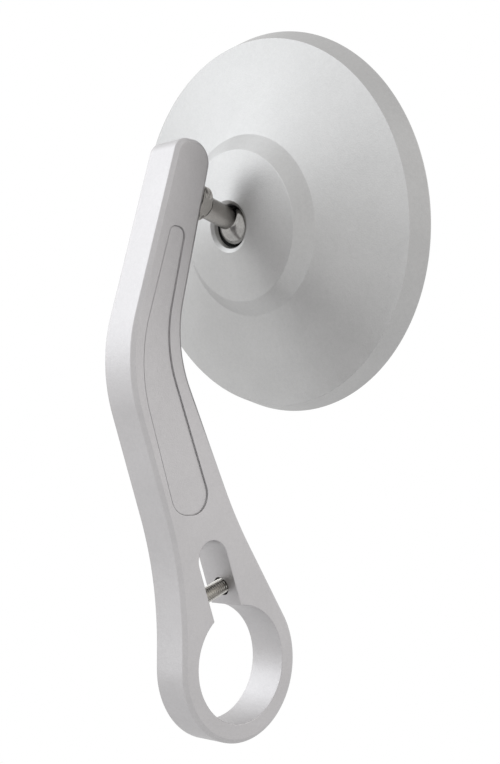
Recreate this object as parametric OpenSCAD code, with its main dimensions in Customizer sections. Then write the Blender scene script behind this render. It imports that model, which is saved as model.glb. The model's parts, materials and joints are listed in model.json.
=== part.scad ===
// Bar end mirror for a motorcycle: a flat arm clamped on the bar end, a ball stud
// and a round mirror head that swivels on the ball.
// The origin is the centre of the clamp bore, +X runs outboard along the bore,
// +Y points back towards the mirror head and +Z points up. Sizes are in millimetres.

/* [Clamp ring] */
// Diameter of the bar that the ring grips
bar_d = 22.2; // [21.8:0.1:23.0]
// Wall of the ring around the bar
ring_wall = 3.6; // [3.2:0.1:4.4]
// Width of the slot that lets the ring close
slot_w = 7.4; // [5.0:0.1:7.8]
// Distance from the bore axis to the round end of the slot
slot_end = 21.8; // [20.5:0.1:23.5]
// Lean of the slot from the vertical
slot_lean = 20.5; // [18:0.5:22]
// Distance from the bore axis to the clamp screw
screw_up = 14.2; // [13.8:0.1:14.8]

/* [Arm] */
// Thickness of the arm plate
arm_t = 8.3; // [8:0.1:10]
// Width of the bevel along the plate's edges
edge_bevel = 0.6; // [0.3:0.1:0.8]
// Height of the front edge's lower knee
front_knee_h = 27.7; // [26:0.1:30]
// Slope of the front edge below that knee
front_foot_slope = 34.4; // [33:0.1:36]
// Slope of the front edge between knee and elbow
front_mid_slope = 24.5; // [23:0.1:26]
// Height of the front edge's elbow
front_elbow_h = 61.1; // [59:0.1:63]
// Lean of the front edge above the elbow
front_lean = 13.4; // [12:0.1:15]
// Height of the front corner at the tip
front_tip_h = 97.5; // [96.5:0.1:98.5]
// Height of the back edge's lower knee
back_knee_h = 16.5; // [15:0.1:18]
// Slope of the back edge between knee and elbow
back_mid_slope = 20.0; // [19:0.1:21]
// Height of the back edge's elbow
back_elbow_h = 55.8; // [54:0.1:58]
// Lean of the back edge above the elbow
back_lean = 16.3; // [15:0.1:17.5]
// Height of the back corner at the tip
back_tip_h = 99.7; // [99:0.1:101]
// Depth of the long pocket in the outboard face
pocket_depth = 0.8; // [0.4:0.1:1.4]

/* [Ball stud] */
// Height at which the stud leaves the front edge
stud_h = 88.5; // [86:0.1:90]
// Distance from the front edge to the ball's centre
stud_reach = 14.4; // [13.5:0.1:16]
// Diameter of the ball
ball_d = 9.0; // [8.6:0.1:9.4]
// Diameter of the neck
neck_d = 4.5; // [4.0:0.1:4.6]
// Outside diameter of the threaded shoulder
shoulder_d = 7.0; // [6.6:0.1:7.4]
// Length of the shoulder that stands out of the arm
shoulder_l = 3.9; // [3.2:0.1:5.0]
// Distance across the two wrench flats
flats_w = 5.5; // [5.0:0.1:6.0]
// Turn of the flats about the stud, from facing outboard towards facing down
flats_turn = 24; // [0:1:90]

/* [Mirror head] */
// Upward tilt of the head's axis
head_tilt = 9.1; // [0:0.1:11]
// Largest diameter of the head
head_d = 76.6; // [74:0.2:79]
// How far the rim spreads beyond the crisp edge behind it
rim_flare = 1.6; // [1.2:0.1:2.4]
// Depth of the rim from the back edge to its widest line
rim_depth = 4.1; // [3.8:0.1:4.8]
// Distance from the ball's centre to the plane of the back edge
ball_set = 6.3; // [6.0:0.1:6.6]
// Diameter of the boss where the wide back face starts
boss_d = 36.0; // [34:0.2:38]
// Diameter of the boss's flat top cone
boss_top_d = 29.9; // [28:0.1:31]
// Thickness of the mirror glass
glass_t = 1.8; // [1.5:0.1:2.0]

/* [Hidden] */
$fn = 96;

// Clearances
run_gap = 0.05;
part_gap = 0.1;
thread_gap = 0.04;
cut = 1;
bevel_over = 0.4;

// Clamp ring
bore_r = bar_d / 2;
ring_r = bore_r + ring_wall;
bore_bevel = 0.35;
slot_r = slot_w / 2;

// Clamp screw, a socket head screw of 3 mm
screw_r = 1.5;
screw_hole_r = 1.85;
screw_head_r = 2.75;
screw_head_h = 3;
screw_l = 16;
screw_key = 2.5;
screw_key_depth = 1.5;
screw_bevel = 0.4;
washer_r = 2.9;
washer_t = 0.5;
counterbore_r = 3.1;
counterbore_floor = 7.7;
screw_hole_depth = 9;

// Rounding radii of the arm's outline
ring_steps = 60;
bend_steps = 12;
tip_back_r = 2.4;
tip_front_r = 3.6;
back_elbow_r = 29;
front_elbow_r = 18;
front_knee_r = 90;
back_knee_r = 70;

// Corners of the arm's outline, before rounding
front_foot = ring_r * along(front_foot_slope);
front_knee = [(ring_r - front_knee_h * sin(front_foot_slope)) / cos(front_foot_slope), front_knee_h];
front_elbow = rise(front_knee, front_elbow_h, -tan(front_mid_slope));
front_tip = rise(front_elbow, front_tip_h, tan(front_lean));
back_foot = [-ring_r, 0];
back_knee = [-ring_r, back_knee_h];
back_elbow = rise(back_knee, back_elbow_h, -tan(back_mid_slope));
back_tip = rise(back_elbow, back_tip_h, tan(back_lean));

// Edge distances and radii of the long pocket
pocket_foot_h = 28.4;
pocket_top_h = 82.4;
pocket_back_gap = 2.75;
pocket_front_gap = 2.85;
pocket_top_back_gap = 3.0;
pocket_top_front_gap = 3.1;
pocket_foot_back_gap = 2.0;
pocket_foot_front_gap = 5.6;
pocket_foot_r = 3.9;
pocket_top_r = 1.65;

// Ball stud
ball_r = ball_d / 2;
neck_r = neck_d / 2;
shoulder_r = shoulder_d / 2;
shoulder_start = stud_reach - shoulder_l;
shoulder_cone = 1.2;
flats_land = 0.5;
thread_depth = 6.2;
thread_end_bevel = 0.6;
stud_root = rise(front_elbow, stud_h, tan(front_lean));
ball_centre = stud_root + stud_reach * along(-front_lean);

// Ball socket, measured from the ball's centre towards the glass
liner_in_r = ball_r + run_gap;
liner_t = 0.65;
liner_out_r = liner_in_r + liner_t;
socket_r = liner_out_r + run_gap;
mouth_r = 4.3;
seat_mouth_angle = 59;
seat_skirt_angle = 92;
cup_half_angle = 54;
plate_r = 6.4;
plate_bore_r = plate_r + part_gap;
plate_start = 2.0;
plate_end = 5.55;
plate_hole_r = 2.2;
socket_floor = 1.8;
spring_out_r = 6.2;
spring_in_r = 3.1;
spring_t = 0.3;
spring_rise = 0.2;
plug_r = 8.0;
plug_start = plate_end + 2 * (spring_t + spring_rise);
plug_hole_r = 2.5;
plug_pin_r = 0.9;
plug_pin_circle_r = 5.4;
plug_lift = 0.2;

// Head outline, measured from the ball's centre towards the glass
head_r = head_d / 2;
back_edge_r = head_r - rim_flare;
boss_r = boss_d / 2;
boss_top_r = boss_top_d / 2;
mouth_bevel = 0.83;
mouth_bevel_h = 0.46;
mouth_lip_h = 10.27;
boss_top_h = 7.7;
boss_h = 4.86;
mouth_lip_z = ball_set - mouth_lip_h;
boss_top_z = ball_set - boss_top_h;
boss_z = ball_set - boss_h;
rim_z = ball_set + rim_depth;
rim_round = 0.7;
rim_front_z = rim_z + rim_round;
face_sag = 0.5;
face_steps = 16;
round_steps = 6;
lip_w = 1.5;
lip_bevel = 0.3;
pocket_r = head_r - rim_round - lip_w;
pad_t = 0.8;
glass_set = 0.35;
glass_gap = 0.15;
glass_r = pocket_r - glass_gap;
glass_bevel = 0.3;
pad_inset = 2;
pad_r = glass_r - pad_inset;
pad_hole_r = 9;
pocket_floor = rim_front_z - glass_set - glass_t - pad_t;

// Point at height h on the line that leaves p and runs sideways by slope for each unit of height
function rise(p, h, slope) = [p.x + (h - p.y) * slope, h];

// Point at height h, a level distance away from the line through p and q
function beside(p, q, h, gap) = [p.x + (q.x - p.x) * (h - p.y) / (q.y - p.y) + gap, h];

function unit(v) = v / norm(v);

function along(angle) = [cos(angle), sin(angle)];

// Round the corner at p between the neighbours a and b, then move it inwards by d
function corner_arc(a, p, b, r, d) = let (
        u = unit(a - p),
        v = unit(b - p),
        half = acos(u * v) / 2,
        centre = p + unit(u + v) * r / sin(half),
        from = p + u * r / tan(half) - centre,
        to = p + v * r / tan(half) - centre,
        turn = atan2(cross(from, to), from * to),
        start = atan2(from.y, from.x)
    )
    [for (i = [0 : bend_steps]) centre + (r - sign(turn) * d) * along(start + turn * i / bend_steps)];

// Round all the inner corners of an open run of points and move it inwards by d
function rounded(points, radii, d) = [
    for (i = [1 : len(points) - 2]) each corner_arc(points[i - 1], points[i], points[i + 1], radii[i - 1], d)
];

// Outline of the arm, counter-clockwise, with the ring's round foot, moved inwards by d
function arm_loop(d) = concat(
    rounded(
        [front_foot, front_knee, front_elbow, front_tip, back_tip, back_elbow, back_knee, back_foot],
        [front_knee_r, front_elbow_r, tip_front_r, tip_back_r, back_elbow_r, back_knee_r],
        d
    ),
    [for (i = [0 : ring_steps]) (ring_r - d) * along(180 + (180 + front_foot_slope) * i / ring_steps)]
);

// Outline of the long pocket, counter-clockwise
pocket_foot_front = beside(front_knee, front_elbow, pocket_foot_h, -pocket_foot_front_gap);
pocket_foot_back = beside(back_knee, back_elbow, pocket_foot_h, pocket_foot_back_gap);
pocket_top_front = beside(front_elbow, front_tip, pocket_top_h, -pocket_top_front_gap);
pocket_top_back = beside(back_elbow, back_tip, pocket_top_h, pocket_top_back_gap);
pocket_elbow_front = front_elbow - [pocket_front_gap, 0];
pocket_elbow_back = back_elbow + [pocket_back_gap, 0];
pocket_loop = rounded(
    [pocket_foot_back, pocket_foot_front, pocket_elbow_front, pocket_top_front, pocket_top_back,
        pocket_elbow_back, pocket_foot_back, pocket_foot_front],
    [pocket_foot_r, front_elbow_r, pocket_top_r, pocket_top_r, back_elbow_r, pocket_foot_r],
    0
);

// Closed band of three-sided section that trims the upper edge of a plate
module bevel_cut() {
    n = len(arm_loop(0));
    rings = [
        [arm_loop(-bevel_over), arm_t / 2 - edge_bevel - bevel_over],
        [arm_loop(-bevel_over), arm_t / 2 + bevel_over],
        [arm_loop(edge_bevel + bevel_over), arm_t / 2 + bevel_over]
    ];
    points = [for (ring = rings) for (p = ring[0]) [p.x, p.y, ring[1]]];
    faces = [for (k = [0 : 2]) for (i = [0 : n - 1])
        let (j = (i + 1) % n, low = k * n, high = (k + 1) % 3 * n)
        each [[low + i, high + i, high + j], [low + i, high + j, low + j]]];
    polyhedron(points, faces);
}

// Turn a shape drawn flat so that its x, y and z become Y, Z and X
module upright() {
    rotate([90, 0, 90]) children();
}

// Place a shape drawn along +z on the clamp screw's axis, which crosses the slot
module on_screw_axis() {
    rotate([slot_lean, 0, 0]) translate([0, 0, screw_up]) rotate([-90, 0, 0]) children();
}

// Place a shape drawn along +z at the ball's centre, pointing to the arm
module on_stud_axis() {
    translate([0, ball_centre.x, ball_centre.y]) rotate([90 - front_lean, 0, 0]) children();
}

// Place a shape drawn along +z at the ball's centre, pointing to the glass
module on_head_axis() {
    translate([0, ball_centre.x, ball_centre.y]) rotate([head_tilt - 90, 0, 0]) children();
}

// Everything within an angle of the +z axis, out to a reach
module cone_of(angle, reach) {
    cylinder(h = reach * cos(angle), r1 = 0, r2 = reach * sin(angle));
}

module bore_cut() {
    translate([0, 0, -arm_t / 2 - cut]) cylinder(h = arm_t + 2 * cut, r = bore_r);
    for (side = [0, 180])
        rotate([side, 0, 0]) translate([0, 0, arm_t / 2 - bore_bevel])
            cylinder(h = bore_bevel + cut, r1 = bore_r, r2 = bore_r + bore_bevel + cut);
}

// Slot from the bore up into the arm, with a round end
module slot_cut() {
    rotate([0, 0, slot_lean]) {
        translate([-slot_r, 0, -arm_t / 2 - cut]) cube([slot_w, slot_end, arm_t + 2 * cut]);
        translate([0, slot_end, -arm_t / 2 - cut]) cylinder(h = arm_t + 2 * cut, r = slot_r);
    }
}

// Clearance hole, counterbore and tapped hole of the clamp screw
module screw_cut() {
    cylinder(h = counterbore_floor + cut, r = screw_hole_r);
    translate([0, 0, counterbore_floor]) cylinder(h = ring_r, r = counterbore_r);
    rotate([180, 0, 0]) cylinder(h = screw_hole_depth, r = screw_r + thread_gap);
}

module arm() {
    color("silver")
    difference() {
        upright() difference() {
            translate([0, 0, -arm_t / 2]) linear_extrude(arm_t) polygon(arm_loop(0));
            bevel_cut();
            mirror([0, 0, 1]) bevel_cut();
            translate([0, 0, arm_t / 2 - pocket_depth]) linear_extrude(arm_t) polygon(pocket_loop);
            bore_cut();
            slot_cut();
        }
        on_screw_axis() screw_cut();
        on_stud_axis() translate([0, 0, stud_reach - cut])
            cylinder(h = thread_depth + part_gap + cut, r = shoulder_r + thread_gap);
    }
}

// Socket head screw, head up, with its seat at z = 0
module socket_screw(r, l, head_r, head_h, key, key_depth, bevel) {
    difference() {
        rotate_extrude() polygon([
            [0, -l], [r - bevel, -l], [r, bevel - l], [r, 0], [head_r, 0],
            [head_r, head_h - bevel], [head_r - bevel, head_h], [0, head_h]
        ]);
        translate([0, 0, head_h - key_depth]) cylinder(h = key_depth + cut, d = key / cos(30), $fn = 6);
    }
}

module clamp_screw() {
    color("dimgray")
    on_screw_axis() translate([0, 0, counterbore_floor + washer_t])
        socket_screw(screw_r, screw_l, screw_head_r, screw_head_h, screw_key, screw_key_depth, screw_bevel);
}

module clamp_washer() {
    color("gainsboro")
    on_screw_axis() translate([0, 0, counterbore_floor])
        difference() {
            cylinder(h = washer_t, r = washer_r);
            translate([0, 0, -cut]) cylinder(h = washer_t + 2 * cut, r = screw_r + part_gap);
        }
}

// Ball, neck and threaded shoulder, turned from one bar
module ball_stud() {
    color("lightgray")
    on_stud_axis() {
        sphere(r = ball_r);
        difference() {
            rotate_extrude() polygon([
                [0, 0],
                [neck_r, 0],
                [neck_r, shoulder_start],
                [shoulder_r - shoulder_cone, shoulder_start],
                [shoulder_r, shoulder_start + shoulder_cone],
                [shoulder_r, stud_reach + thread_depth - thread_end_bevel],
                [shoulder_r - thread_end_bevel, stud_reach + thread_depth],
                [0, stud_reach + thread_depth]
            ]);
            for (side = [-1, 1])
                rotate([0, 0, -flats_turn]) translate([side * (flats_w / 2 + shoulder_r), 0, shoulder_start])
                    cube([2 * shoulder_r, 2 * shoulder_r, 2 * (shoulder_l - flats_land)], center = true);
        }
    }
}

// Part of the thin ball liner between two cones about the +z axis
module liner(from_angle, to_angle) {
    reach = 2 * liner_out_r;
    difference() {
        sphere(r = liner_out_r);
        sphere(r = liner_in_r);
        if (from_angle > 0) cone_of(from_angle, reach);
        if (to_angle < 90) difference() {
            translate([0, 0, -reach]) cylinder(h = 2 * reach, r = reach);
            cone_of(to_angle, reach);
        }
        else translate([0, 0, -reach - liner_in_r * cos(180 - to_angle)]) cylinder(h = reach, r = reach);
    }
}

// Rear liner, a shallow cup that stays in line with the stud
module pressure_cup() {
    color("dimgray")
    on_stud_axis() rotate([180, 0, 0]) liner(0, cup_half_angle);
}

// Liner in the socket's mouth
module seat_ring() {
    color("black")
    on_head_axis() rotate([180, 0, 0]) liner(seat_mouth_angle, seat_skirt_angle);
}

// Hollow flare of the wide back face, from the boss out to the back edge
function face_line() = [
    for (i = [0 : face_steps])
        let (t = i / face_steps, dip = 4 * face_sag * t * (1 - t))
        [boss_r + (back_edge_r - boss_r) * t, boss_z + (ball_set - boss_z) * t + dip]
];

// Round front edge of the rim
function rim_line() = [
    for (i = [0 : round_steps])
        let (a = 90 * i / round_steps)
        [head_r - rim_round + rim_round * cos(a), rim_z + rim_round * sin(a)]
];

module housing() {
    color("silver")
    on_head_axis() difference() {
        rotate_extrude() polygon(concat(
            [
                [mouth_r, mouth_lip_z + mouth_bevel_h],
                [mouth_r + mouth_bevel, mouth_lip_z],
                [boss_top_r, boss_top_z]
            ],
            face_line(),
            rim_line(),
            [
                [pocket_r + lip_bevel, rim_front_z],
                [pocket_r, rim_front_z - lip_bevel],
                [pocket_r, pocket_floor],
                [plug_r + thread_gap, pocket_floor],
                [plug_r + thread_gap, plug_start - part_gap],
                [plate_bore_r, plug_start - part_gap],
                [plate_bore_r, socket_floor],
                [socket_r + run_gap, socket_floor],
                [socket_r + run_gap, 0],
                [mouth_r, 0]
            ]
        ));
        sphere(r = socket_r);
    }
}

// Plate with a hollow face that presses on the rear liner
module pressure_plate() {
    color("gainsboro")
    on_head_axis() difference() {
        translate([0, 0, plate_start]) cylinder(h = plate_end - plate_start, r = plate_r);
        sphere(r = socket_r);
        cylinder(h = plate_end + cut, r = plate_hole_r);
    }
}

// Coned spring washer with its inner edge raised towards +z
module disc_spring() {
    rotate_extrude() polygon([
        [spring_in_r, spring_rise],
        [spring_out_r, 0],
        [spring_out_r, spring_t],
        [spring_in_r, spring_rise + spring_t]
    ]);
}

module disc_spring_rear() {
    color("slategray")
    on_head_axis() translate([0, 0, plate_end]) disc_spring();
}

module disc_spring_front() {
    color("slategray")
    on_head_axis() translate([0, 0, plug_start]) rotate([180, 0, 0]) disc_spring();
}

// Threaded plug that sets how stiff the ball turns, with two holes for a pin key
module adjusting_plug() {
    color("gainsboro")
    on_head_axis() difference() {
        translate([0, 0, plug_start]) cylinder(h = pocket_floor - plug_lift - plug_start, r = plug_r);
        translate([0, 0, plug_start - cut]) cylinder(h = rim_front_z, r = plug_hole_r);
        for (side = [-1, 1])
            translate([side * plug_pin_circle_r, 0, plug_start - cut]) cylinder(h = rim_front_z, r = plug_pin_r);
    }
}

// Adhesive foam between the housing and the glass
module glass_pad() {
    color("darkslategray")
    on_head_axis() translate([0, 0, pocket_floor]) difference() {
        cylinder(h = pad_t, r = pad_r);
        translate([0, 0, -cut]) cylinder(h = pad_t + 2 * cut, r = pad_hole_r);
    }
}

module mirror_glass() {
    color("lightsteelblue")
    on_head_axis() translate([0, 0, pocket_floor + pad_t]) rotate_extrude() polygon([
        [0, 0], [glass_r, 0], [glass_r, glass_t - glass_bevel], [glass_r - glass_bevel, glass_t], [0, glass_t]
    ]);
}

arm();
clamp_screw();
clamp_washer();
ball_stud();
pressure_cup();
seat_ring();
housing();
pressure_plate();
disc_spring_rear();
disc_spring_front();
adjusting_plug();
glass_pad();
mirror_glass();
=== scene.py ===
"""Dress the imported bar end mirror: its metal, its threads, its studio and its camera.

Every length is in millimetres and turned into metres by MM, unless its line says metres. The row frame
has its origin in the clamp bore, +X along the bore, +Y back to the mirror head and +Z up.
"""
from __future__ import annotations

import json
import logging
import math
from dataclasses import dataclass
from enum import Enum
from typing import Callable, Optional, Sequence
import bmesh
import bpy
from mathutils import Matrix, Vector
from mathutils.kdtree import KDTree


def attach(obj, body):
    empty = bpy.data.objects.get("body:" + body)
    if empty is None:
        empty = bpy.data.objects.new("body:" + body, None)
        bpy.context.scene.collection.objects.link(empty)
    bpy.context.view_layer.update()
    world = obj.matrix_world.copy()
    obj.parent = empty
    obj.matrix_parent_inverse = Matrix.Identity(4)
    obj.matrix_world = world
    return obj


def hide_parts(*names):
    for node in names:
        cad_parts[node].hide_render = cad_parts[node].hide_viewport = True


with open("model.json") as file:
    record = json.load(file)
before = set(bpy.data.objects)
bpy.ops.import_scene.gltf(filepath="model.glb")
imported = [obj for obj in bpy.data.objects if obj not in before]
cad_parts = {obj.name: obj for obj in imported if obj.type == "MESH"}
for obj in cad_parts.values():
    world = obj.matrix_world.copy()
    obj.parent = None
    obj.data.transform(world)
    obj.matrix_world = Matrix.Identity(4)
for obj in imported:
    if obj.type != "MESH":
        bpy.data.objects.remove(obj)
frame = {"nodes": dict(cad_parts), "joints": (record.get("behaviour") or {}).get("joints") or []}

log = logging.getLogger("bar_end_mirror")

MM = 0.001
IMAGE_HEIGHT = 764
ON_AXIS = 1e-6

Point = tuple[float, float]
Triple = tuple[float, float, float]
Loop = list[Point]
Rows = list[list[bmesh.types.BMVert]]


class Body(Enum):
    """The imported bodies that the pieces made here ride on."""

    ARM = "arm"
    HEAD = "head"


class Slot(Enum):
    """The record's material slots."""

    ARM_METAL = "anodised_aluminium"
    HEAD_METAL = "blasted_aluminium"
    SCREW = "stainless_screw"
    STUD = "polished_stud"
    LINER = "liner_plastic"
    TURNED = "turned_steel"
    SPRING = "spring_steel"
    FOAM = "pad_foam"
    MIRROR = "mirror"


# Plane geometry: rounded corners, offsets and profiles.


@dataclass(frozen=True)
class Corner:
    """A corner of an outline and the radius that rounds it.

    Args:
        x: First coordinate in millimetres.
        y: Second coordinate in millimetres.
        r: Rounding radius in millimetres; the two ends of a run need none.
    """

    x: float
    y: float
    r: float = 0.0


def corner_arc(before: Corner, at: Corner, after: Corner, inset: float, steps: int) -> Loop:
    """Round one corner with an arc and move the arc to its left side.

    Args:
        before: The corner before it.
        at: The corner to round.
        after: The corner after it.
        inset: Distance to move the line to its left; a negative one moves it there too.
        steps: Number of chords in the arc.

    Returns:
        The arc's points.
    """
    p = Vector((at.x, at.y))
    u = (Vector((before.x, before.y)) - p).normalized()
    v = (Vector((after.x, after.y)) - p).normalized()
    half = u.angle(v) / 2
    centre = p + (u + v).normalized() * (at.r / math.sin(half))
    start = p + u * (at.r / math.tan(half)) - centre
    stop = p + v * (at.r / math.tan(half)) - centre
    turn = math.atan2(start.x * stop.y - start.y * stop.x, start.dot(stop))
    first = math.atan2(start.y, start.x)
    radius = at.r - math.copysign(inset, turn)
    angles = [first + turn * i / steps for i in range(steps + 1)]
    return [(centre.x + radius * math.cos(a), centre.y + radius * math.sin(a)) for a in angles]


def rounded(corners: Sequence[Corner], inset: float = 0.0, steps: int = 6) -> Loop:
    """Round the inner corners of an open run of corners.

    Args:
        corners: The run; its first and last corners only give directions.
        inset: Distance to move the line to its left; a negative one moves it there too.
        steps: Number of chords in each arc.

    Returns:
        The points of all the arcs in order.
    """
    points: Loop = []
    for before, at, after in zip(corners, corners[1:], corners[2:]):
        points += corner_arc(before, at, after, inset, steps)
    return points


def arc(radius: float, start: float, stop: float, steps: int, centre: Point = (0.0, 0.0)) -> Loop:
    """List the points of an arc, angles in degrees."""
    angles = [math.radians(start + (stop - start) * i / steps) for i in range(steps + 1)]
    return [(centre[0] + radius * math.cos(a), centre[1] + radius * math.sin(a)) for a in angles]


def rod(r: float, low: float, high: float) -> Loop:
    """Profile of a plain rod between two heights."""
    return [(0, low), (r, low), (r, high), (0, high)]


# Mesh building: lofted bands, lathe work, threads and cuts.


class Workshop:
    """Makes meshes out of loops and profiles, all drawn in millimetres."""

    GROOVE_STEEP = 1.45
    GROOVE_LAND = 0.12
    NORMAL_WEIGHT = 90

    @staticmethod
    def link(name: str, bm: bmesh.types.BMesh) -> bpy.types.Object:
        """Put a finished bmesh in the scene as an object, and free it."""
        mesh = bpy.data.meshes.new(name)
        bm.to_mesh(mesh)
        bm.free()
        piece = bpy.data.objects.new(name, mesh)
        bpy.context.scene.collection.objects.link(piece)
        return piece

    @classmethod
    def to_object(cls, name: str, bm: bmesh.types.BMesh, place: Matrix) -> bpy.types.Object:
        """Turn a bmesh drawn in millimetres into an object in the scene.

        Args:
            name: Name of the piece.
            bm: The mesh; it is freed.
            place: Where the drawing goes, its translation in metres.

        Returns:
            The new object, its place held in its mesh.
        """
        bmesh.ops.scale(bm, vec=(MM, MM, MM), verts=bm.verts)
        bmesh.ops.transform(bm, matrix=place, verts=bm.verts)
        bmesh.ops.recalc_face_normals(bm, faces=bm.faces)
        return cls.link(name, bm)

    @staticmethod
    def band(bm: bmesh.types.BMesh, rings: Sequence[Sequence[Vector]]) -> Rows:
        """Skin closed rings that have the same number of points.

        Args:
            bm: The mesh to add to.
            rings: The rings in order.

        Returns:
            The vertices of each ring.
        """
        rows = [[bm.verts.new(p) for p in ring] for ring in rings]
        for low, high in zip(rows, rows[1:]):
            count = len(low)
            for i in range(count):
                j = (i + 1) % count
                bm.faces.new((low[i], low[j], high[j], high[i]))
        return rows

    @staticmethod
    def fill(bm: bmesh.types.BMesh, loops: Sequence[Sequence[bmesh.types.BMVert]]) -> None:
        """Fill the flat face between an outer ring of vertices and any rings inside it."""
        edges = []
        for loop in loops:
            for i, vert in enumerate(loop):
                edges.append(bm.edges.get((vert, loop[(i + 1) % len(loop)])))
        bmesh.ops.triangle_fill(bm, use_beauty=True, use_dissolve=False, edges=edges)

    @classmethod
    def lathe(
        cls, name: str, profile: Sequence[Point], place: Matrix, segments: int = 160
    ) -> bpy.types.Object:
        """Spin a profile about the z axis.

        Args:
            name: Name of the piece.
            profile: Points as radius and height; a radius of 0 closes the end.
            place: Where the drawing goes.
            segments: Steps round the axis.

        Returns:
            The new object.
        """
        bm = bmesh.new()
        rows: Rows = []
        for r, z in profile:
            if r < ON_AXIS:
                rows.append([bm.verts.new((0, 0, z))])
                continue
            turn = [2 * math.pi * i / segments for i in range(segments)]
            rows.append([bm.verts.new((r * math.cos(a), r * math.sin(a), z)) for a in turn])
        pairs = list(zip(rows, rows[1:]))
        if len(rows[0]) > 1 and len(rows[-1]) > 1:
            pairs.append((rows[-1], rows[0]))
        for low, high in pairs:
            for i in range(segments):
                j = (i + 1) % segments
                ring = [low[i % len(low)], low[j % len(low)], high[j % len(high)], high[i % len(high)]]
                unique = list(dict.fromkeys(ring))
                if len(unique) > 2:
                    bm.faces.new(unique)
        return cls.to_object(name, bm, place)

    @classmethod
    def threaded(
        cls, name: str, shape: Callable[[float], float], pitch: float, depth: float, span: Point,
        fade: Point, place: Matrix, segments: int, per_turn: int, phase: float = 0.0,
    ) -> bpy.types.Object:
        """Make a rod with a helical thread.

        Args:
            name: Name of the piece.
            shape: Gives the crest radius at a height.
            pitch: Rise of the thread in a turn.
            depth: Depth of the thread.
            span: Lowest and highest point of the rod.
            fade: Length over which the thread runs out at the low and the high end.
            place: Where the drawing goes.
            segments: Steps round the axis.
            per_turn: Steps along the axis in one pitch.
            phase: Share of a turn by which the thread starts later.

        Returns:
            The new object.
        """
        bm = bmesh.new()
        low, high = span
        rises = int((high - low) / pitch * per_turn)
        rows = []
        for k in range(rises + 1):
            z = low + (high - low) * k / rises
            row = []
            for i in range(segments):
                groove = cls.groove((z / pitch - i / segments + phase) % 1.0)
                ends = min(1.0, (z - low) / fade[0], (high - z) / fade[1])
                r = shape(z) - depth * groove * max(0.0, ends)
                a = 2 * math.pi * i / segments
                row.append(Vector((r * math.cos(a), r * math.sin(a), z)))
            rows.append(row)
        rings = cls.band(bm, rows)
        bm.faces.new(rings[0])
        bm.faces.new(rings[-1])
        return cls.to_object(name, bm, place)

    @classmethod
    def groove(cls, phase: float) -> float:
        """Depth of a thread's groove at a place in its pitch, from 0 on the crest to 1 in the root."""
        slope = abs(phase - 0.5) * 2
        return min(1.0, max(0.0, (1 - slope) * cls.GROOVE_STEEP - cls.GROOVE_LAND))

    @staticmethod
    def cut(piece: bpy.types.Object, tools: Sequence[bpy.types.Object]) -> None:
        """Cut tools out of a piece and delete them."""
        for tool in tools:
            cutter = piece.modifiers.new("cut", "BOOLEAN")
            cutter.operation = "DIFFERENCE"
            cutter.solver = "EXACT"
            cutter.object = tool
            bpy.context.view_layer.update()
            graph = bpy.context.evaluated_depsgraph_get()
            cut_mesh = bpy.data.meshes.new_from_object(piece.evaluated_get(graph))
            piece.modifiers.clear()
            piece.data = cut_mesh
            bpy.data.objects.remove(tool)

    @classmethod
    def join(cls, name: str, parts: Sequence[bpy.types.Object]) -> bpy.types.Object:
        """Join several objects into one piece and remove them."""
        bm = bmesh.new()
        for part in parts:
            bm.from_mesh(part.data)
            bpy.data.objects.remove(part)
        return cls.link(name, bm)

    @classmethod
    def smooth(cls, piece: bpy.types.Object, crease: float = 30.0, weighted: bool = True) -> None:
        """Shade a piece smooth, with edges sharper than crease degrees kept sharp."""
        mesh = piece.data
        mesh.polygons.foreach_set("use_smooth", [True] * len(mesh.polygons))
        mesh.set_sharp_from_angle(angle=math.radians(crease))
        if weighted:
            lean = piece.modifiers.new("even_normals", "WEIGHTED_NORMAL")
            lean.keep_sharp = True
            lean.weight = cls.NORMAL_WEIGHT


# Finishes, each a node material made once.


def maths(tree: bpy.types.NodeTree, kind: str, operation: str) -> bpy.types.Node:
    """Add a maths node of a kind, set to an operation."""
    node = tree.nodes.new(kind)
    node.operation = operation
    return node


@dataclass(frozen=True)
class Turning:
    """The axis that a turned surface was cut round, and its fine tool lines.

    Args:
        centre: A point on the axis, in metres.
        axis: Direction of the axis.
        lines: Tool lines per millimetre.
        depth: Depth of the lines in millimetres.
    """

    centre: Vector
    axis: Vector
    lines: float
    depth: float

    DETAIL = 3.0

    def height(self, tree: bpy.types.NodeTree, place: bpy.types.Node) -> bpy.types.NodeSocket:
        """Add a height that runs in rings round the axis.

        Args:
            tree: The node tree to add to.
            place: The texture coordinate node.

        Returns:
            The socket that carries the height.
        """
        apart = maths(tree, "ShaderNodeVectorMath", "SUBTRACT")
        apart.inputs[1].default_value = self.centre
        along = maths(tree, "ShaderNodeVectorMath", "DOT_PRODUCT")
        along.inputs[1].default_value = self.axis
        across = maths(tree, "ShaderNodeVectorMath", "CROSS_PRODUCT")
        across.inputs[1].default_value = self.axis
        radius = maths(tree, "ShaderNodeVectorMath", "LENGTH")
        total = maths(tree, "ShaderNodeMath", "ADD")
        rings = tree.nodes.new("ShaderNodeTexNoise")
        rings.noise_dimensions = "1D"
        rings.inputs["Scale"].default_value = self.lines / MM
        rings.inputs["Detail"].default_value = self.DETAIL
        link = tree.links.new
        link(place.outputs["Object"], apart.inputs[0])
        link(apart.outputs["Vector"], along.inputs[0])
        link(apart.outputs["Vector"], across.inputs[0])
        link(across.outputs["Vector"], radius.inputs[0])
        link(along.outputs["Value"], total.inputs[0])
        link(radius.outputs["Value"], total.inputs[1])
        link(total.outputs["Value"], rings.inputs["W"])
        return rings.outputs["Fac"]


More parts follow.
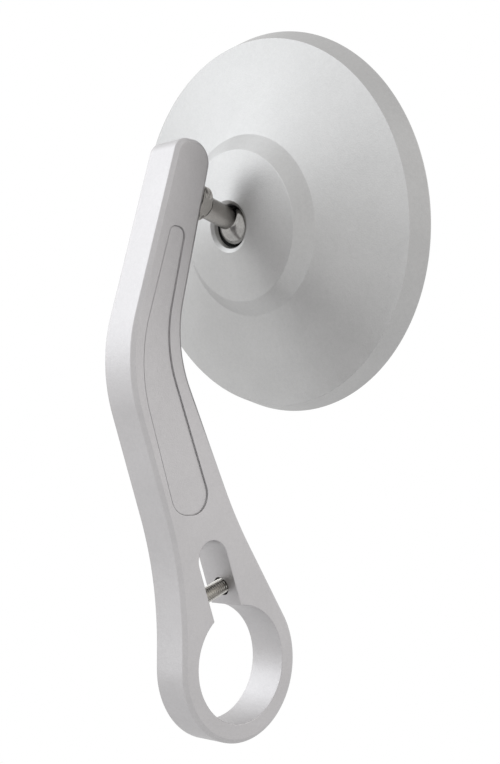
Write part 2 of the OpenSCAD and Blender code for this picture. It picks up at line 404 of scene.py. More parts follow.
@dataclass(frozen=True)
class Finish:
    """A metal or plastic finish with a fine grain, slow patches and, where it was turned, tool lines.

    Args:
        name: Name of the material.
        colour: Mean colour, linear.
        spread: How far the colour wanders, as a share of the colour.
        metallic: Metallic share.
        roughness: Mean roughness.
        rough_spread: How far the roughness wanders.
        grain: Size of the surface grain in millimetres.
        bump: Height of the grain in millimetres.
        dimple: Size of the wider dimples in millimetres.
        dimple_bump: Height of the dimples in millimetres, 0 for none.
        patch: Size of the slow colour patches in millimetres.
        turning: Tool lines, None for none.
        specular: Specular level.
    """

    name: str
    colour: Triple
    spread: float = 0.04
    metallic: float = 0.0
    roughness: float = 0.5
    rough_spread: float = 0.05
    grain: float = 0.15
    bump: float = 0.01
    dimple: float = 0.8
    dimple_bump: float = 0.0
    patch: float = 9.0
    turning: Optional[Turning] = None
    specular: float = 0.5

    PATCH_DETAIL = 3.0
    GRAIN_DETAIL = 2.0
    FINE_SHARE = 0.4
    ROUGH_PATCH_SHARE = 0.5
    SMOOTHEST = 0.02
    RAMP_ENDS = (0.35, 0.65)

    def build(self) -> bpy.types.Material:
        """Make the node material, or find it if it is there.

        Returns:
            The material.
        """
        found = bpy.data.materials.get(self.name)
        if found is not None:
            return found
        material = bpy.data.materials.new(self.name)
        material.use_nodes = True
        tree = material.node_tree
        shader = tree.nodes["Principled BSDF"]
        shader.inputs["Metallic"].default_value = self.metallic
        shader.inputs["Specular IOR Level"].default_value = self.specular
        place = tree.nodes.new("ShaderNodeTexCoord")
        patches = self.noise(tree, place, self.patch, self.PATCH_DETAIL)
        dimples = self.noise(tree, place, self.dimple, self.GRAIN_DETAIL)
        grain = self.noise(tree, place, self.grain, self.GRAIN_DETAIL)
        coarse = self.blend(tree, patches, dimples, self.FINE_SHARE)
        self.colours(tree, self.blend(tree, coarse, grain, self.FINE_SHARE), shader)
        rough = tree.nodes.new("ShaderNodeMapRange")
        rough.inputs["To Min"].default_value = max(self.SMOOTHEST, self.roughness - self.rough_spread)
        rough.inputs["To Max"].default_value = self.roughness + self.rough_spread
        tree.links.new(self.blend(tree, grain, patches, self.ROUGH_PATCH_SHARE), rough.inputs["Value"])
        tree.links.new(rough.outputs["Result"], shader.inputs["Roughness"])
        normal = self.bumps(tree, grain, self.bump, None)
        if self.dimple_bump:
            normal = self.bumps(tree, dimples, self.dimple_bump, normal)
        if self.turning:
            normal = self.bumps(tree, self.turning.height(tree, place), self.turning.depth, normal)
        tree.links.new(normal, shader.inputs["Normal"])
        return material

    def colours(
        self, tree: bpy.types.NodeTree, height: bpy.types.NodeSocket, shader: bpy.types.Node
    ) -> None:
        """Let the colour wander with a height.

        Args:
            tree: The node tree to add to.
            height: The value that the colour follows.
            shader: The shader that takes the colour.
        """
        ramp = tree.nodes.new("ShaderNodeValToRGB")
        low = [c * (1 - self.spread) for c in self.colour]
        high = [min(1.0, c * (1 + self.spread)) for c in self.colour]
        for element, position, colour in zip(ramp.color_ramp.elements, self.RAMP_ENDS, (low, high)):
            element.position = position
            element.color = (*colour, 1)
        tree.links.new(height, ramp.inputs["Fac"])
        tree.links.new(ramp.outputs["Color"], shader.inputs["Base Color"])

    @staticmethod
    def noise(
        tree: bpy.types.NodeTree, place: bpy.types.Node, size: float, detail: float
    ) -> bpy.types.NodeSocket:
        """Add a noise whose features are about size millimetres wide."""
        node = tree.nodes.new("ShaderNodeTexNoise")
        node.inputs["Scale"].default_value = 1 / (size * MM)
        node.inputs["Detail"].default_value = detail
        tree.links.new(place.outputs["Object"], node.inputs["Vector"])
        return node.outputs["Fac"]

    @staticmethod
    def blend(
        tree: bpy.types.NodeTree, first: bpy.types.NodeSocket, second: bpy.types.NodeSocket, share: float
    ) -> bpy.types.NodeSocket:
        """Mix two values, share of the second."""
        mix = tree.nodes.new("ShaderNodeMix")
        mix.data_type = "FLOAT"
        mix.inputs["Factor"].default_value = share
        tree.links.new(first, mix.inputs["A"])
        tree.links.new(second, mix.inputs["B"])
        return mix.outputs["Result"]

    @staticmethod
    def bumps(
        tree: bpy.types.NodeTree, height: bpy.types.NodeSocket, depth: float,
        under: Optional[bpy.types.NodeSocket],
    ) -> bpy.types.NodeSocket:
        """Add a bump over the one under it.

        Args:
            tree: The node tree to add to.
            height: The value that raises the surface.
            depth: Height of the bump in millimetres.
            under: The normal of the bump under it, None for the bare surface.

        Returns:
            The normal's socket.
        """
        bump = tree.nodes.new("ShaderNodeBump")
        bump.inputs["Distance"].default_value = depth * MM
        bump.inputs["Strength"].default_value = 1.0
        tree.links.new(height, bump.inputs["Height"])
        if under:
            tree.links.new(under, bump.inputs["Normal"])
        return bump.outputs["Normal"]


def joint(name: str) -> dict:
    """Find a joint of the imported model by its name."""
    return next(j for j in frame["joints"] if j["name"] == name)


BALL_CENTRE = Vector(joint("head_tilt")["pos_m"])
HEAD_AXIS = Vector(joint("head_spin")["axis"]).normalized()
STUD_AXIS = Vector(joint("stud_swivel")["axis"]).normalized()

ARM_METAL = Finish(
    "blasted_arm_metal", (0.486, 0.474, 0.477), metallic=1.0, roughness=0.46, grain=0.26, bump=0.026,
    dimple=0.7, dimple_bump=0.006, spread=0.06,
)
# Darker metal for the pocket's lip: painted shade, standing in for the shadow line round the pocket.
LIP_SHADE_METAL = Finish(
    "painted_lip_shade_metal", (0.42, 0.411, 0.414), metallic=1.0, roughness=0.5, grain=0.2, bump=0.01,
)
HEAD_METAL = Finish(
    "blasted_head_metal", (0.452, 0.448, 0.444), metallic=1.0, roughness=0.44, grain=0.28, bump=0.026,
    dimple=0.8, dimple_bump=0.007, spread=0.06,
)
SCREW_METAL = Finish("rolled_screw_steel", (0.57, 0.555, 0.525), metallic=1.0, roughness=0.24, bump=0.003)
STUD_METAL = Finish(
    "turned_stud_steel", (0.31, 0.297, 0.28), metallic=1.0, roughness=0.25, bump=0.003, grain=0.3,
    turning=Turning(BALL_CENTRE, STUD_AXIS, 7.0, 0.004), patch=2.5, spread=0.1,
)
BALL_METAL = Finish(
    "polished_ball_steel", (0.33, 0.322, 0.31), metallic=1.0, roughness=0.2, rough_spread=0.08, bump=0.002,
    grain=0.35, dimple=1.3, dimple_bump=0.05, patch=1.6, spread=0.2,
)
LINER_PLASTIC = Finish(
    "black_liner_plastic", (0.006, 0.006, 0.006), roughness=0.6, spread=0.2, specular=0.2,
)
TURNED_METAL = Finish(
    "turned_inner_steel", (0.45, 0.45, 0.46), metallic=0.9, roughness=0.35,
    turning=Turning(BALL_CENTRE, HEAD_AXIS, 6.0, 0.004),
)
SPRING_METAL = Finish("blued_spring_steel", (0.16, 0.18, 0.22), metallic=0.9, roughness=0.35)
FOAM = Finish("black_pad_foam", (0.02, 0.02, 0.022), roughness=0.9, grain=0.3, bump=0.05, spread=0.2)
MIRROR_FACE = Finish(
    "silvered_glass", (0.88, 0.90, 0.91), metallic=1.0, roughness=0.03, rough_spread=0.008, bump=0.0002,
    spread=0.01, patch=25.0,
)


def dress(piece: bpy.types.Object, finish: Finish) -> None:
    """Give a piece its finish and log its name."""
    piece.data.materials.clear()
    piece.data.materials.append(finish.build())
    log.info("%s: %s", piece.name, finish.name)


# The arm and what is fixed to it.


@dataclass(frozen=True)
class Arm:
    """The bent plate with its clamp ring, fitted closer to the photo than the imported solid.

    Leans and slopes are in degrees from the vertical. The front is the stud's side. The insets of the
    pocket are level, at its foot, its elbow and its top. LIP_AREA is in square metres.
    """

    thick: float = 8.3
    bevel: float = 0.6
    bevel_in: float = 0.8
    bore_bevel: float = 0.1
    bore_round: float = 0.04
    bore_r: float = 11.1
    ring_r: float = 14.7
    slot_w: float = 7.4
    slot_end: float = 21.3
    slot_lean: float = 20.5
    screw_up: float = 14.2
    front_foot_slope: float = 34.4
    front_knee_h: float = 27.7
    front_knee_r: float = 90.0
    front_mid_slope: float = 26.0
    front_elbow_h: float = 59.63
    front_elbow_r: float = 24.0
    front_lean: float = 13.4
    front_tip_h: float = 99.0
    front_tip_r: float = 3.9
    back_knee_h: float = 16.5
    back_knee_r: float = 70.0
    back_mid_slope: float = 20.0
    back_elbow_h: float = 55.8
    back_elbow_r: float = 29.0
    back_lean: float = 16.3
    back_tip_h: float = 98.95
    back_tip_r: float = 3.3
    pocket_foot_h: float = 28.4
    pocket_foot_r: float = 3.9
    pocket_top_h: float = 81.9
    pocket_top_r: float = 1.65
    pocket_front_in: Triple = (5.6, 2.85, 3.1)
    pocket_back_in: Triple = (2.0, 2.75, 3.0)
    pocket_depth: float = 0.21
    pocket_wall_in: float = 0.03
    pocket_edge_r: float = 0.03
    pocket_floor_r: float = 0.06
    lip_w: float = 0.1
    edge_round: float = 0.32
    screw_hole_r: float = 1.85
    screw_seat: float = 7.7
    counterbore_r: float = 3.1
    counterbore_end: float = 16.0
    tapped_r: float = 1.52
    tapped_depth: float = 9.0
    stud_reach: float = 14.4
    stud_hole_r: float = 3.54
    stud_hole_depth: float = 6.3

    BEND_STEPS = 20
    EDGE_STEPS = 4
    POCKET_STEPS = 10
    HOLE_STEPS = 96
    LIP_FLAT = 0.004
    LIP_NEAR = 0.02
    LIP_AREA = 2e-6
    CREASE = 24

    @staticmethod
    def rise(p: Corner, h: float, angle: float, r: float) -> Corner:
        """Follow a line from p, at an angle from the vertical, up to height h."""
        return Corner(p.x + (h - p.y) * math.tan(math.radians(angle)), h, r)

    @staticmethod
    def beside(p: Corner, q: Corner, h: float, gap: float, r: float) -> Corner:
        """Find the point at height h, a level distance away from the line through p and q."""
        return Corner(p.x + (q.x - p.x) * (h - p.y) / (q.y - p.y) + gap, h, r)

    def corners(self) -> list[Corner]:
        """List the outline's corners, counter-clockwise from the ring's front."""
        foot = math.radians(self.front_foot_slope)
        front_foot = Corner(self.ring_r * math.cos(foot), self.ring_r * math.sin(foot))
        knee_y = (self.ring_r - self.front_knee_h * math.sin(foot)) / math.cos(foot)
        front_knee = Corner(knee_y, self.front_knee_h, self.front_knee_r)
        front_elbow = self.rise(front_knee, self.front_elbow_h, -self.front_mid_slope, self.front_elbow_r)
        front_tip = self.rise(front_elbow, self.front_tip_h, self.front_lean, self.front_tip_r)
        back_foot = Corner(-self.ring_r, 0)
        back_knee = Corner(-self.ring_r, self.back_knee_h, self.back_knee_r)
        back_elbow = self.rise(back_knee, self.back_elbow_h, -self.back_mid_slope, self.back_elbow_r)
        back_tip = self.rise(back_elbow, self.back_tip_h, self.back_lean, self.back_tip_r)
        return [front_foot, front_knee, front_elbow, front_tip, back_tip, back_elbow, back_knee, back_foot]

    def outline(self, inset: float) -> Loop:
        """Draw the closed outline, moved inwards by inset."""
        ring = arc(self.ring_r - inset, 180, 360 + self.front_foot_slope, 90)
        return rounded(self.corners(), inset, self.BEND_STEPS) + ring

    def pocket(self, inset: float) -> Loop:
        """Draw the closed outline of the long pocket, moved inwards by inset, whatever its sign."""
        _, front_knee, front_elbow, front_tip, back_tip, back_elbow, back_knee, _ = self.corners()
        front_foot_in, front_elbow_in, front_top_in = self.pocket_front_in
        back_foot_in, back_elbow_in, back_top_in = self.pocket_back_in
        foot_h, foot_r = self.pocket_foot_h, self.pocket_foot_r
        top_h, top_r = self.pocket_top_h, self.pocket_top_r
        foot_front = self.beside(front_knee, front_elbow, foot_h, -front_foot_in, foot_r)
        foot_back = self.beside(back_knee, back_elbow, foot_h, back_foot_in, foot_r)
        top_front = self.beside(front_elbow, front_tip, top_h, -front_top_in, top_r)
        top_back = self.beside(back_elbow, back_tip, top_h, back_top_in, top_r)
        elbow_front = Corner(front_elbow.x - front_elbow_in, front_elbow.y, front_elbow.r)
        elbow_back = Corner(back_elbow.x + back_elbow_in, back_elbow.y, back_elbow.r)
        run = [foot_back, foot_front, elbow_front, top_front, top_back, elbow_back, foot_back, foot_front]
        return rounded(run, inset, self.BEND_STEPS)

    def hole(self, widen: float) -> Loop:
        """Draw the bore and its slot as one closed outline, widened into the metal."""
        half = self.slot_w / 2 + widen
        bore = self.bore_r + widen
        corner = math.degrees(math.acos(half / bore))
        ring = arc(bore, 180 - corner, 360 + corner, 120)
        end = arc(half, 0, 180, 36, (0.0, self.slot_end))
        sides = 6
        top = ring[-1][1]
        rising = [(half, top + (self.slot_end - top) * i / sides) for i in range(1, sides)]
        falling = [(-x, y) for x, y in reversed(rising)]
        lean = math.radians(self.slot_lean)
        turn = [(math.cos(lean), math.sin(lean)), (-math.sin(lean), math.cos(lean))]
        return [
            (x * turn[0][0] + y * turn[1][0], x * turn[0][1] + y * turn[1][1])
            for x, y in ring + rising + end + falling
        ]

    def edge_line(self, bevel: float, soft: float) -> Loop:
        """Draw half of a bevelled edge as inset and height, from the mid-plane to the broad face."""
        top = self.thick / 2
        inset = bevel * self.bevel_in / self.bevel
        run = [Corner(0, 0), Corner(0, top - bevel, soft), Corner(inset, top, soft), Corner(inset + 2, top)]
        return [(0.0, 0.0)] + rounded(run, 0.0, self.EDGE_STEPS)

    def build(self) -> bpy.types.Object:
        """Build the whole arm and cut its holes.

        The lip's ring comes out lip_w inside the pocket's outline, so the broad face overhangs the
        pocket's wall there.

        Returns:
            The arm, in the row frame.
        """
        bm = bmesh.new()
        edge = self.edge_line(self.bevel, self.edge_round)
        bore_edge = self.edge_line(self.bore_bevel, self.bore_round)
        outer = self.wall(bm, edge, self.outline)
        inner = self.wall(bm, bore_edge, self.hole)
        top = self.thick / 2
        floor = top - self.pocket_depth
        edge_corner = Corner(0, top, self.pocket_edge_r)
        floor_corner = Corner(self.pocket_wall_in, floor, self.pocket_floor_r)
        run = [Corner(-2, top), edge_corner, floor_corner, Corner(3, floor)]
        dip = [(-self.lip_w, top)] + rounded(run, 0.0, self.POCKET_STEPS)
        pocket = Workshop.band(bm, [[Vector((x, y, z)) for x, y in self.pocket(d)] for d, z in dip])
        Workshop.fill(bm, [outer[-1], inner[-1], pocket[0]])
        Workshop.fill(bm, [outer[0], inner[0]])
        Workshop.fill(bm, [pocket[-1]])
        upright = Matrix(((0, 0, 1, 0), (1, 0, 0, 0), (0, 1, 0, 0), (0, 0, 0, 1)))
        arm = Workshop.to_object("arm_body", bm, upright)
        Workshop.cut(arm, self.cutters())
        Workshop.smooth(arm, self.CREASE)
        return arm

    def paint_lip_shade(self, arm: bpy.types.Object) -> None:
        """Paint a darker metal on the thin edge that overhangs the pocket, as painted shade for the dark
        line round the pocket's lip.
        """
        points = [Vector((0, y, z)) for inset in (0.0, -self.lip_w) for y, z in self.pocket(inset)]
        line = KDTree(len(points))
        for i, point in enumerate(points):
            line.insert(point, i)
        line.balance()
        arm.data.materials.append(LIP_SHADE_METAL.build())
        for face in arm.data.polygons:
            x = face.center.x / MM
            if abs(x - self.thick / 2) > self.LIP_FLAT or face.area > self.LIP_AREA:
                continue
            spots = [Vector((0, *(arm.data.vertices[v].co / MM).yz)) for v in face.vertices]
            if all(line.find(spot)[2] < self.LIP_NEAR for spot in spots):
                face.material_index = 1

    def wall(self, bm: bmesh.types.BMesh, edge: Loop, outline: Callable[[float], Loop]) -> Rows:
        """Skin a wall from the far face to the near face along an edge profile.

        Args:
            bm: The mesh to add to.
            edge: Half of the edge as inset and height.
            outline: Gives the outline at an inset.

        Returns:
            The vertices of each ring, from the far face to the near one.
        """
        line = [(d, -z) for d, z in reversed(edge)] + edge[1:]
        return Workshop.band(bm, [[Vector((x, y, z)) for x, y in outline(d)] for d, z in line])

    def screw_place(self) -> Matrix:
        """Place a drawing along +z on the clamp screw's axis."""
        lean = Matrix.Rotation(math.radians(self.slot_lean), 4, "X")
        up = Matrix.Translation((0, 0, self.screw_up * MM))
        return lean @ up @ Matrix.Rotation(math.radians(-90), 4, "X")

    def stud_place(self) -> Matrix:
        """Place a drawing along +z at the ball's centre, pointing to the arm."""
        return Matrix.Translation(BALL_CENTRE) @ Matrix.Rotation(math.radians(90 - self.front_lean), 4, "X")

    def cutters(self) -> list[bpy.types.Object]:
        """Make the shapes that cut the screw's and the stud's holes."""
        place, steps = self.screw_place(), self.HOLE_STEPS
        seat = rod(self.screw_hole_r, 0, self.screw_seat)[:-1]
        head = rod(self.counterbore_r, self.screw_seat, self.counterbore_end)[1:]
        socket = rod(self.stud_hole_r, self.stud_reach - 1, self.stud_reach + self.stud_hole_depth)
        return [
            Workshop.lathe("through", seat + head, place, steps),
            Workshop.lathe("tapped", rod(self.tapped_r, -self.tapped_depth, 0), place, steps),
            Workshop.lathe("socket", socket, self.stud_place(), steps),
        ]

    def dress(self) -> None:
        """Build the arm with its holes, and set it in the frame."""
        arm = self.build()
        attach(arm, Body.ARM.value)
        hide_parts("arm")
        dress(arm, ARM_METAL)
        # Painted shade: a darker metal on the pocket's lip.
        self.paint_lip_shade(arm)


@dataclass(frozen=True)
class ClampScrew:
    """Socket head screw with a rolled thread, and its washer."""

    arm: Arm
    r: float = 1.5
    length: float = 16.0
    pitch: float = 0.5
    head_r: float = 2.75
    head_h: float = 3.0
    seat: float = 8.2
    key: float = 2.5
    key_depth: float = 1.5
    thread_depth: float = 0.42
    overlap: float = 0.01
    run_out: Point = (0.5, 1.0)
    tip_cut: float = 0.35
    head_foot_r: float = 0.15
    head_rim_r: float = 0.35

    def dress(self) -> None:
        """Build the screw and set it in the frame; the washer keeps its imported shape."""
        place = self.arm.screw_place() @ Matrix.Translation((0, 0, self.seat * MM))
        shank = Workshop.threaded(
            "shank", self.shank_r, self.pitch, self.thread_depth, (-self.length, self.overlap),
            self.run_out, place, segments=64, per_turn=10,
        )
        head = Workshop.lathe("head", self.head_line(), place, 96)
        hexagon = rod(self.key / math.sqrt(3), self.head_h - self.key_depth, self.head_h + 1)
        Workshop.cut(head, [Workshop.lathe("socket", hexagon, place, 6)])
        screw = Workshop.join("clamp_screw_threaded", [shank, head])
        Workshop.smooth(screw, 32)
        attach(screw, Body.ARM.value)
        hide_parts("clamp_screw")
        dress(screw, SCREW_METAL)
        washer = frame["nodes"]["clamp_washer"]
        Workshop.smooth(washer, 30, weighted=False)
        dress(washer, SCREW_METAL)

    def shank_r(self, z: float) -> float:
        """Crest radius of the shank, pointed at its end."""
        return min(self.r, self.r - self.tip_cut + (z + self.length))

    def head_line(self) -> Loop:
        """Profile of the head with rounded rims."""
        run = [
            Corner(0, 0), Corner(self.head_r, 0, self.head_foot_r),
            Corner(self.head_r, self.head_h, self.head_rim_r), Corner(0, self.head_h),
        ]
        return [(0.0, 0.0)] + rounded(run) + [(0.0, self.head_h)]


@dataclass(frozen=True)
class BallStud:
    """Ball, neck and threaded shoulder with two wrench flats."""

    arm: Arm
    ball_r: float = 4.5
    neck_r: float = 2.21
    shoulder_r: float = 3.5
    start: float = 10.5
    reach: float = 14.4
    depth: float = 6.2
    flats: float = 5.5
    flats_turn: float = 24.0
    flats_land: float = 0.5
    pitch: float = 1.0
    thread_depth: float = 0.42
    run_out: Point = (1.9, 0.8)
    phase: float = 0.24
    dome_h: float = 1.5
    dome_drop: float = 1.2
    end_cut: float = 0.6
    neck_gap: float = 0.12
    neck_foot_r: float = 0.1

    DOME_RISE = 1.35
    DOME_FALL = 0.35
    DOME_POWER = 3.857
    FLAT_BOX = (4, 12)
    BALL_SHARE = 1.01

    def dress(self) -> None:
        """Build the stud and set it in the frame."""
        place = self.arm.stud_place()
        tip = Workshop.lathe("tip", self.ball_line(), place, 128)
        shoulder = Workshop.threaded(
            "shoulder", self.shoulder_line, self.pitch, self.thread_depth,
            (self.start, self.reach + self.depth), self.run_out, place,
            segments=120, per_turn=14, phase=self.phase,
        )
        boxes = []
        wide, tall = self.FLAT_BOX
        for side in (-1, 1):
            bm = bmesh.new()
            bmesh.ops.create_cube(bm, size=1)
            low, high = self.start - 2, self.reach - self.flats_land
            middle = (side * (self.flats / 2 + wide / 2), 0, (low + high) / 2)
            bmesh.ops.scale(bm, vec=(wide, tall, high - low), verts=bm.verts)
            bmesh.ops.translate(bm, vec=middle, verts=bm.verts)
            turn = Matrix.Rotation(math.radians(-self.flats_turn), 4, "Z")
            boxes.append(Workshop.to_object("flat", bm, place @ turn))
        Workshop.cut(shoulder, boxes)
        stud = Workshop.join("ball_stud_turned", [tip, shoulder])
        Workshop.smooth(stud, 34)
        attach(stud, Body.ARM.value)
        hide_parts("ball_stud")
        dress(stud, STUD_METAL)
        stud.data.materials.append(BALL_METAL.build())
        for face in stud.data.polygons:
            if (face.center - BALL_CENTRE).length < self.ball_r * self.BALL_SHARE * MM:
                face.material_index = 1

    def shoulder_line(self, z: float) -> float:
        """Crest radius of the shoulder, domed where it meets the neck."""
        t = min(1.0, (z - self.start) / self.dome_h)
        bulge = t * self.DOME_RISE - self.DOME_FALL * t ** self.DOME_POWER
        dome = self.shoulder_r - self.dome_drop + self.dome_drop * bulge
        return min(dome, self.shoulder_r, self.shoulder_r - self.end_cut + (self.reach + self.depth - z))

    def ball_line(self) -> Loop:
        """Profile from the ball's far side to the middle of the shoulder."""
        meet = math.degrees(math.asin(self.neck_r / self.ball_r))
        ball = arc(self.ball_r, -90, 90 - meet - 1, 40)
        rim = ball[-1]
        neck_foot = Corner(self.neck_r, rim[1] + self.neck_gap, self.neck_foot_r)
        end = self.start + 0.5
        neck = rounded([Corner(*rim), neck_foot, Corner(self.neck_r, end)])
        return [(0.0, -self.ball_r)] + ball[1:] + neck + [(self.neck_r, end), (0.0, end)]


# The head and what is in it.


@dataclass(frozen=True)
class Head:
    """The turned housing with its boss, flared back, rim and glass.

    The ups are heights over the back edge, towards the stud. The seats are radius and height from the
    ball's centre, on the glass side.
    """

    ball_set: float = 6.3
    head_r: float = 38.3
    back_edge_r: float = 36.7
    rim_depth: float = 4.1
    boss_r: float = 18.0
    boss_top_r: float = 14.95
    mouth_r: float = 4.3
    rim_round: float = 0.7
    glass_t: float = 1.8
    pad_t: float = 0.8
    glass_set: float = 0.35
    lip_w: float = 1.5
    lip_round: float = 0.2
    face_sag: float = 0.5
    boss_top_up: float = 7.7
    boss_top_round: float = 0.5
    boss_up: float = 4.86
    boss_round: float = 0.8
    mouth_top_r: float = 5.13
    mouth_up: float = 10.27
    mouth_round: float = 0.12
    wall_up: float = 9.81
    wall_out: float = 0.05
    wall_in: float = 0.16
    wall_round: float = 0.1
    back_edge_round: float = 0.06
    plug_seat: Point = (8.04, 6.45)
    plate_seat: Point = (6.5, 1.8)
    cup_r: float = 5.3
    liner_r: float = 5.25
    liner_end: Point = (4.36, -2.76)
    glass_gap: float = 0.15
    glass_back_r: float = 0.1
    glass_front_r: float = 0.3

    SEGMENTS = 256
    FLARE_STEPS = 24
    LINER_ANGLES = (0.1, 0.2, 0.3, 0.4, 0.5, 0.545)

    def place(self) -> Matrix:
        """Place a drawing along +z on the head's axis, from the ball's centre."""
        return Matrix.Translation(BALL_CENTRE) @ HEAD_AXIS.to_track_quat("Z", "X").to_matrix().to_4x4()

    def back_line(self) -> Loop:
        """Profile of the back, from the mouth to the back edge."""
        boss_top = Corner(self.boss_top_r, self.ball_set - self.boss_top_up, self.boss_top_round)
        boss = Corner(self.boss_r, self.ball_set - self.boss_up, self.boss_round)
        mouth = Corner(self.mouth_top_r, self.ball_set - self.mouth_up, self.mouth_round)
        wall = Corner(self.mouth_r + self.wall_out, self.ball_set - self.wall_up, self.wall_round)
        face = self.face_line()
        run = [Corner(*self.wall_foot()), wall, mouth, boss_top, boss, Corner(*face[1])]
        return rounded(run) + face[1:-1]

    def wall_foot(self) -> Point:
        """Inner end of the mouth's wall."""
        return self.mouth_r - self.wall_in, self.liner_end[1]

    def face_line(self) -> Loop:
        """Flare of the wide back face."""
        low, high = self.ball_set - self.boss_up, self.ball_set
        steps = self.FLARE_STEPS
        return [
            (
                self.boss_r + (self.back_edge_r - self.boss_r) * i / steps,
                low + (high - low) * i / steps + 4 * self.face_sag * (i / steps) * (1 - i / steps),
            )
            for i in range(steps + 1)
        ]

    def front_line(self) -> Loop:
        """Profile of the rim, its round front edge and the glass seat."""
        rim_z = self.ball_set + self.rim_depth
        front = rim_z + self.rim_round
        lip_r = self.head_r - self.rim_round - self.lip_w
        floor = front - self.glass_set - self.glass_t - self.pad_t
        face = self.face_line()
        back_edge = Corner(self.back_edge_r, self.ball_set, self.back_edge_round)
        run = [Corner(*face[-2]), back_edge, Corner(self.head_r, rim_z)]
        bend = arc(self.rim_round, 0, 90, 8, (self.head_r - self.rim_round, rim_z))
        lip = rounded([Corner(*bend[-1]), Corner(lip_r, front, self.lip_round), Corner(lip_r, floor)])
        (plug_r, plug_z), (plate_r, plate_z) = self.plug_seat, self.plate_seat
        inside = [
            (lip_r, floor), (plug_r, floor), (plug_r, plug_z), (plate_r, plug_z), (plate_r, plate_z),
            (self.cup_r, plate_z),
        ]
        return rounded(run) + bend + lip + inside

    def dress(self) -> None:
        """Build the housing and the glass, and finish every piece in the head."""
        r = self.liner_r
        socket = [(self.cup_r, 0.0)] + [(r * math.cos(a), -r * math.sin(a)) for a in self.LINER_ANGLES]
        profile = self.back_line() + self.front_line() + socket + [self.liner_end, self.wall_foot()]
        housing = Workshop.lathe("housing_turned", profile, self.place(), self.SEGMENTS)
        Workshop.smooth(housing, 30)
        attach(housing, Body.HEAD.value)
        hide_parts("housing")
        dress(housing, HEAD_METAL)
        glass = self.glass()
        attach(glass, Body.HEAD.value)
        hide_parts("mirror_glass")
        dress(glass, MIRROR_FACE)
        inner = {
            "pressure_plate": (TURNED_METAL, Slot.TURNED),
            "adjusting_plug": (TURNED_METAL, Slot.TURNED),
            "disc_spring_rear": (SPRING_METAL, Slot.SPRING),
            "disc_spring_front": (SPRING_METAL, Slot.SPRING),
            "glass_pad": (FOAM, Slot.FOAM),
            "pressure_cup": (LINER_PLASTIC, Slot.LINER),
            "seat_ring": (LINER_PLASTIC, Slot.LINER),
        }
        for name, (finish, slot) in inner.items():
            Workshop.smooth(frame["nodes"][name], 30, weighted=False)
            dress(frame["nodes"][name], finish)

    def glass(self) -> bpy.types.Object:
        """Build the mirror glass with a ground edge."""
        front = self.ball_set + self.rim_depth + self.rim_round - self.glass_set
        back = front - self.glass_t
        r = self.head_r - self.rim_round - self.lip_w - self.glass_gap
        back_corner, front_corner = Corner(r, back, self.glass_back_r), Corner(r, front, self.glass_front_r)
        run = [Corner(0, back), back_corner, front_corner, Corner(0, front)]
        line = [(0.0, back)] + rounded(run) + [(0.0, front)]
        glass = Workshop.lathe("mirror_glass_ground", line, self.place(), self.SEGMENTS)
        Workshop.smooth(glass, 40)
        return glass


# The studio.


COOL = (0.955, 0.995, 1.03)
WARM = (1.02, 1.0, 0.99)


@dataclass(frozen=True)
class SoftBox:
    """A square area light aimed at the mirror.

    Args:
        name: Name of the light.
        at: Position in metres.
        power: Power in watts.
        tint: Colour of the light.
        size: Side in metres.
    """

    name: str
    at: Triple
    power: float
    tint: Triple
    size: float = 0.9

    def build(self, target: Vector) -> None:
        """Hang the light and turn it to the target."""
        light = bpy.data.lights.new(self.name, "AREA")
        light.size = self.size
        light.energy = self.power
        light.color = self.tint
        lamp = bpy.data.objects.new(self.name, light)
        lamp.location = self.at
        lamp.rotation_euler = (target - Vector(self.at)).to_track_quat("-Z", "Y").to_euler()
        bpy.context.scene.collection.objects.link(lamp)


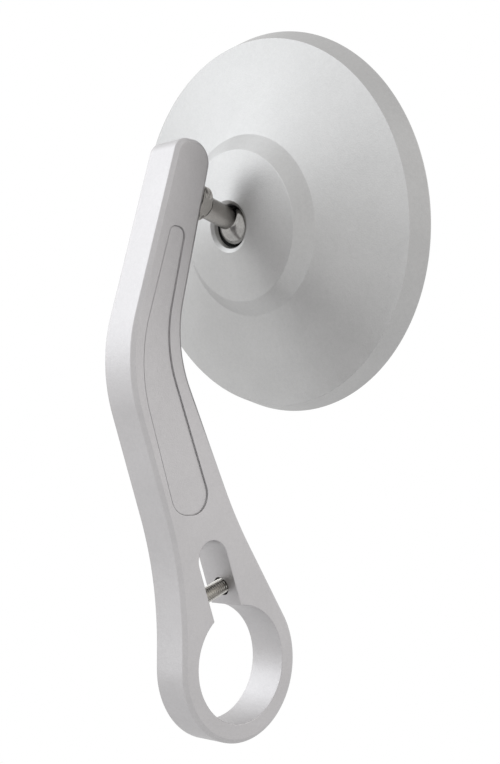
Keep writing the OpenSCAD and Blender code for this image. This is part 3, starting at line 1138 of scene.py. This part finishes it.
@dataclass(frozen=True)
class Studio:
    """White floor and backdrop, soft lamps and the photograph's camera.

    The clip, the aim of the lamps and the fade of the floor's glow are in metres.
    """

    focal_pixels: float = 1315.7
    sensor: float = 36.0
    clip: Point = (0.01, 20.0)
    azimuth: float = 45.02
    elevation: float = -4.01
    camera_at: Triple = (183.9, -177.5, 36.0)
    aim: Triple = (0.0, 0.0, 0.05)
    floor_h: float = -300.0
    floor_half: float = 4000.0
    floor_grey: float = 0.93
    floor_roughness: float = 0.9
    floor_glow: float = 0.3
    floor_fade: Point = (0.35, 1.1)
    world_strength: float = 0.75

    def camera(self) -> None:
        """Make the camera at the photograph's place."""
        lens = bpy.data.cameras.new("camera")
        lens.sensor_width = self.sensor
        lens.lens = self.focal_pixels / IMAGE_HEIGHT * lens.sensor_width
        lens.clip_start, lens.clip_end = self.clip
        camera = bpy.data.objects.new("camera", lens)
        az, el = math.radians(self.azimuth), math.radians(self.elevation)
        back = Vector((math.sin(az) * math.cos(el), -math.cos(az) * math.cos(el), math.sin(el)))
        camera.location = Vector(self.camera_at) * MM
        camera.rotation_euler = (-back).to_track_quat("-Z", "Y").to_euler()
        bpy.context.scene.collection.objects.link(camera)
        bpy.context.scene.camera = camera

    def world(self) -> None:
        """Light the scene with a soft white sky that the camera sees as plain white."""
        world = bpy.data.worlds.new("white_room")
        world.use_nodes = True
        tree = world.node_tree
        tree.nodes.clear()
        path = tree.nodes.new("ShaderNodeLightPath")
        glow = tree.nodes.new("ShaderNodeBackground")
        white = tree.nodes.new("ShaderNodeBackground")
        for room, strength in ((glow, self.world_strength), (white, 1.0)):
            room.inputs["Color"].default_value = (1, 1, 1, 1)
            room.inputs["Strength"].default_value = strength
        mix = tree.nodes.new("ShaderNodeMixShader")
        out = tree.nodes.new("ShaderNodeOutputWorld")
        tree.links.new(self.seen(tree, path), mix.inputs["Fac"])
        tree.links.new(glow.outputs["Background"], mix.inputs[1])
        tree.links.new(white.outputs["Background"], mix.inputs[2])
        tree.links.new(mix.outputs["Shader"], out.inputs["Surface"])
        bpy.context.scene.world = world

    @staticmethod
    def seen(tree: bpy.types.NodeTree, path: bpy.types.Node) -> bpy.types.NodeSocket:
        """Tell rays that see the room, directly or mirrored, from those that only light things."""
        total = path.outputs["Is Camera Ray"]
        for name in ("Is Glossy Ray", "Is Transmission Ray"):
            larger = maths(tree, "ShaderNodeMath", "MAXIMUM")
            tree.links.new(total, larger.inputs[0])
            tree.links.new(path.outputs[name], larger.inputs[1])
            total = larger.outputs["Value"]
        return total

    def floor(self) -> None:
        """Lay a wide white floor under the mirror."""
        bm = bmesh.new()
        bmesh.ops.create_grid(bm, x_segments=1, y_segments=1, size=self.floor_half)
        floor = Workshop.to_object("floor", bm, Matrix.Translation((0, 0, self.floor_h * MM)))
        material = bpy.data.materials.new("white_floor")
        material.use_nodes = True
        tree = material.node_tree
        shader = tree.nodes["Principled BSDF"]
        shader.inputs["Base Color"].default_value = (self.floor_grey, self.floor_grey, self.floor_grey, 1)
        shader.inputs["Roughness"].default_value = self.floor_roughness
        path = tree.nodes.new("ShaderNodeLightPath")
        glow = tree.nodes.new("ShaderNodeEmission")
        glow.inputs["Strength"].default_value = 1.0
        where = tree.nodes.new("ShaderNodeNewGeometry")
        away = maths(tree, "ShaderNodeVectorMath", "LENGTH")
        fade = tree.nodes.new("ShaderNodeMapRange")
        fade.interpolation_type = "SMOOTHSTEP"
        fade.inputs["From Min"].default_value = self.floor_fade[0]
        fade.inputs["From Max"].default_value = self.floor_fade[1]
        fade.inputs["To Min"].default_value = self.floor_glow
        fade.inputs["To Max"].default_value = 1.0
        share = maths(tree, "ShaderNodeMath", "MULTIPLY")
        mix = tree.nodes.new("ShaderNodeMixShader")
        link = tree.links.new
        link(where.outputs["Position"], away.inputs[0])
        link(away.outputs["Value"], fade.inputs["Value"])
        link(fade.outputs["Result"], share.inputs[1])
        link(self.seen(tree, path), share.inputs[0])
        link(share.outputs["Value"], mix.inputs["Fac"])
        link(shader.outputs["BSDF"], mix.inputs[1])
        link(glow.outputs["Emission"], mix.inputs[2])
        link(mix.outputs["Shader"], tree.nodes["Material Output"].inputs["Surface"])
        floor.data.materials.append(material)

    def build(self) -> None:
        """Build the whole studio."""
        self.camera()
        self.world()
        self.floor()
        target = Vector(self.aim)
        for box in (
            SoftBox("left_light", (-1.178, 0.0, 0.599), 2.22, COOL),
            SoftBox("front_left_light", (-0.833, -0.833, 0.599), 2.88, COOL),
            SoftBox("high_light", (-0.527, -0.527, 1.115), 1.65, COOL),
            SoftBox("low_light", (-0.916, -0.916, -0.063), 0.93, COOL),
            SoftBox("front_light", (0.0, -1.178, 0.599), 1.62, COOL),
            SoftBox("back_light", (0.833, 0.833, 0.599), 1.59, WARM),
        ):
            box.build(target)
        bpy.context.scene.view_settings.view_transform = "Standard"


def main() -> None:
    """Build every sub-assembly in order."""
    logging.basicConfig(level=logging.INFO, format="%(message)s")
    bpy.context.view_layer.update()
    Studio().build()
    arm = Arm()
    for assembly in (arm, ClampScrew(arm), BallStud(arm), Head()):
        assembly.dress()


if __name__ == "__main__":
    main()
